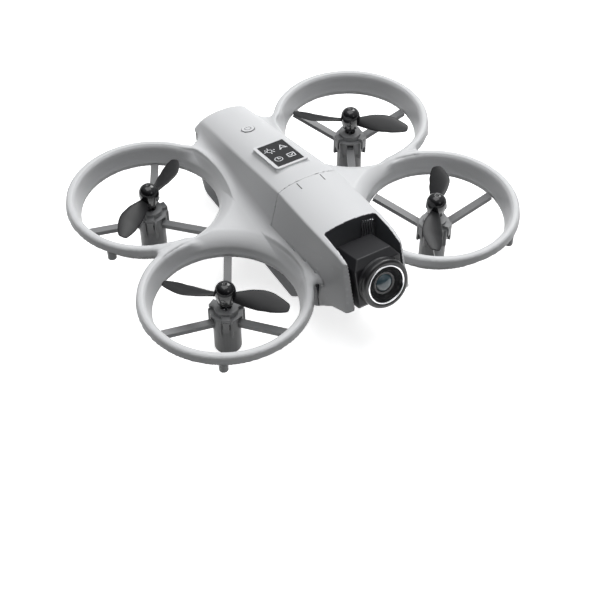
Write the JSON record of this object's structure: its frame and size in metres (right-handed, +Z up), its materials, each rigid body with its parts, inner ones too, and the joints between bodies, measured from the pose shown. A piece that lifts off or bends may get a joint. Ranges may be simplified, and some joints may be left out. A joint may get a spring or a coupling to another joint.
{
  "type": "palm drone",
  "caption": "Small ducted quadrotor with a wedge-shaped body, guard rings around twin-blade propellers and a tilting camera head at the nose.",
  "frame": {"origin": "on the flat belly, in the middle plane, midway between the front and the rear rotor axes", "axes": "+Z up, the nose and camera point along -Y, X runs across the body"},
  "size_m": [0.1568, 0.1312, 0.0484],
  "materials": {
    "shell_white": "fine satin texture",
    "shell_dark": "fine satin texture",
    "display_black": "smooth gloss with printed icons",
    "switch_black": "moulded",
    "board_green": "solder-masked laminate",
    "screw_steel": "zinc plated",
    "lens_black": "smooth gloss",
    "can_steel": "drawn",
    "flex_amber": "polyimide film",
    "cell_foil": "foil pouch",
    "contact_brass": "plated",
    "camera_black": "satin",
    "bezel_black": "semi-gloss",
    "trim_silver": "turned",
    "lens_glass": "polished",
    "mount_grey": "fine satin texture",
    "propeller_black": "satin with glossy dome"
  },
  "bodies": {
    "airframe": {"upper_shell": "shell_white", "front_cover": "shell_white", "lower_shell": "shell_dark", "display_pad": "shell_white", "display_window": "display_black", "button_switch": "switch_black", "main_board": "board_green", "board_screws": "screw_steel", "usb_socket": "screw_steel", "flow_lens": "lens_black", "tilt_motor": "can_steel", "camera_flex": "flex_amber", "motor_mount_fr": "mount_grey", "motor_cap_fr": "mount_grey", "motor_fr": "can_steel", "ring_foot_fr": "mount_grey", "motor_mount_rr": "mount_grey", "motor_cap_rr": "mount_grey", "motor_rr": "can_steel", "ring_foot_rr": "mount_grey", "motor_mount_rl": "mount_grey", "motor_cap_rl": "mount_grey", "motor_rl": "can_steel", "ring_foot_rl": "mount_grey", "motor_mount_fl": "mount_grey", "motor_cap_fl": "mount_grey", "motor_fl": "can_steel", "ring_foot_fl": "mount_grey"},
    "power_button": {"power_button": "shell_white"},
    "battery": {"battery_case": "shell_dark", "battery_cell": "cell_foil", "battery_contacts": "contact_brass"},
    "camera_head": {"camera_housing": "camera_black", "lens_bezel": "bezel_black", "lens_trim_ring": "trim_silver", "lens_window": "lens_glass", "lens_cell": "lens_black", "sensor_board": "board_green", "tilt_pin_left": "screw_steel", "tilt_pin_right": "screw_steel"},
    "rotor_fr": {"shaft_fr": "screw_steel", "propeller_fr": "propeller_black"},
    "rotor_rr": {"shaft_rr": "screw_steel", "propeller_rr": "propeller_black"},
    "rotor_rl": {"shaft_rl": "screw_steel", "propeller_rl": "propeller_black"},
    "rotor_fl": {"shaft_fl": "screw_steel", "propeller_fl": "propeller_black"}
  },
  "joints": [
    {"name": "rotor_fr_spin", "type": "hinge", "parent": "airframe", "child": "rotor_fr", "pos_m": [-0.0461, -0.0308, 0.0256], "axis": [0, 0, 1], "continuous": true},
    {"name": "rotor_rr_spin", "type": "hinge", "parent": "airframe", "child": "rotor_rr", "pos_m": [-0.0461, 0.0308, 0.0256], "axis": [0, 0, 1], "continuous": true},
    {"name": "rotor_rl_spin", "type": "hinge", "parent": "airframe", "child": "rotor_rl", "pos_m": [0.0461, 0.0308, 0.0256], "axis": [0, 0, 1], "continuous": true},
    {"name": "rotor_fl_spin", "type": "hinge", "parent": "airframe", "child": "rotor_fl", "pos_m": [0.0461, -0.0308, 0.0256], "axis": [0, 0, 1], "continuous": true},
    {"name": "camera_tilt", "type": "hinge", "parent": "airframe", "child": "camera_head", "pos_m": [0, -0.05306, 0.03345], "axis": [1, 0, 0], "range_deg": [-12, 108]},
    {"name": "power_button_press", "type": "slide", "parent": "airframe", "child": "power_button", "axis": [0, -0.225, -0.9744], "range_m": [0, 0.0006], "stiffness_N_per_m": 400, "springref_m": -0.0006},
    {"name": "battery_slide", "type": "slide", "parent": "airframe", "child": "battery", "axis": [0, 1, 0], "range_m": [0, 0.075]}
  ]
}
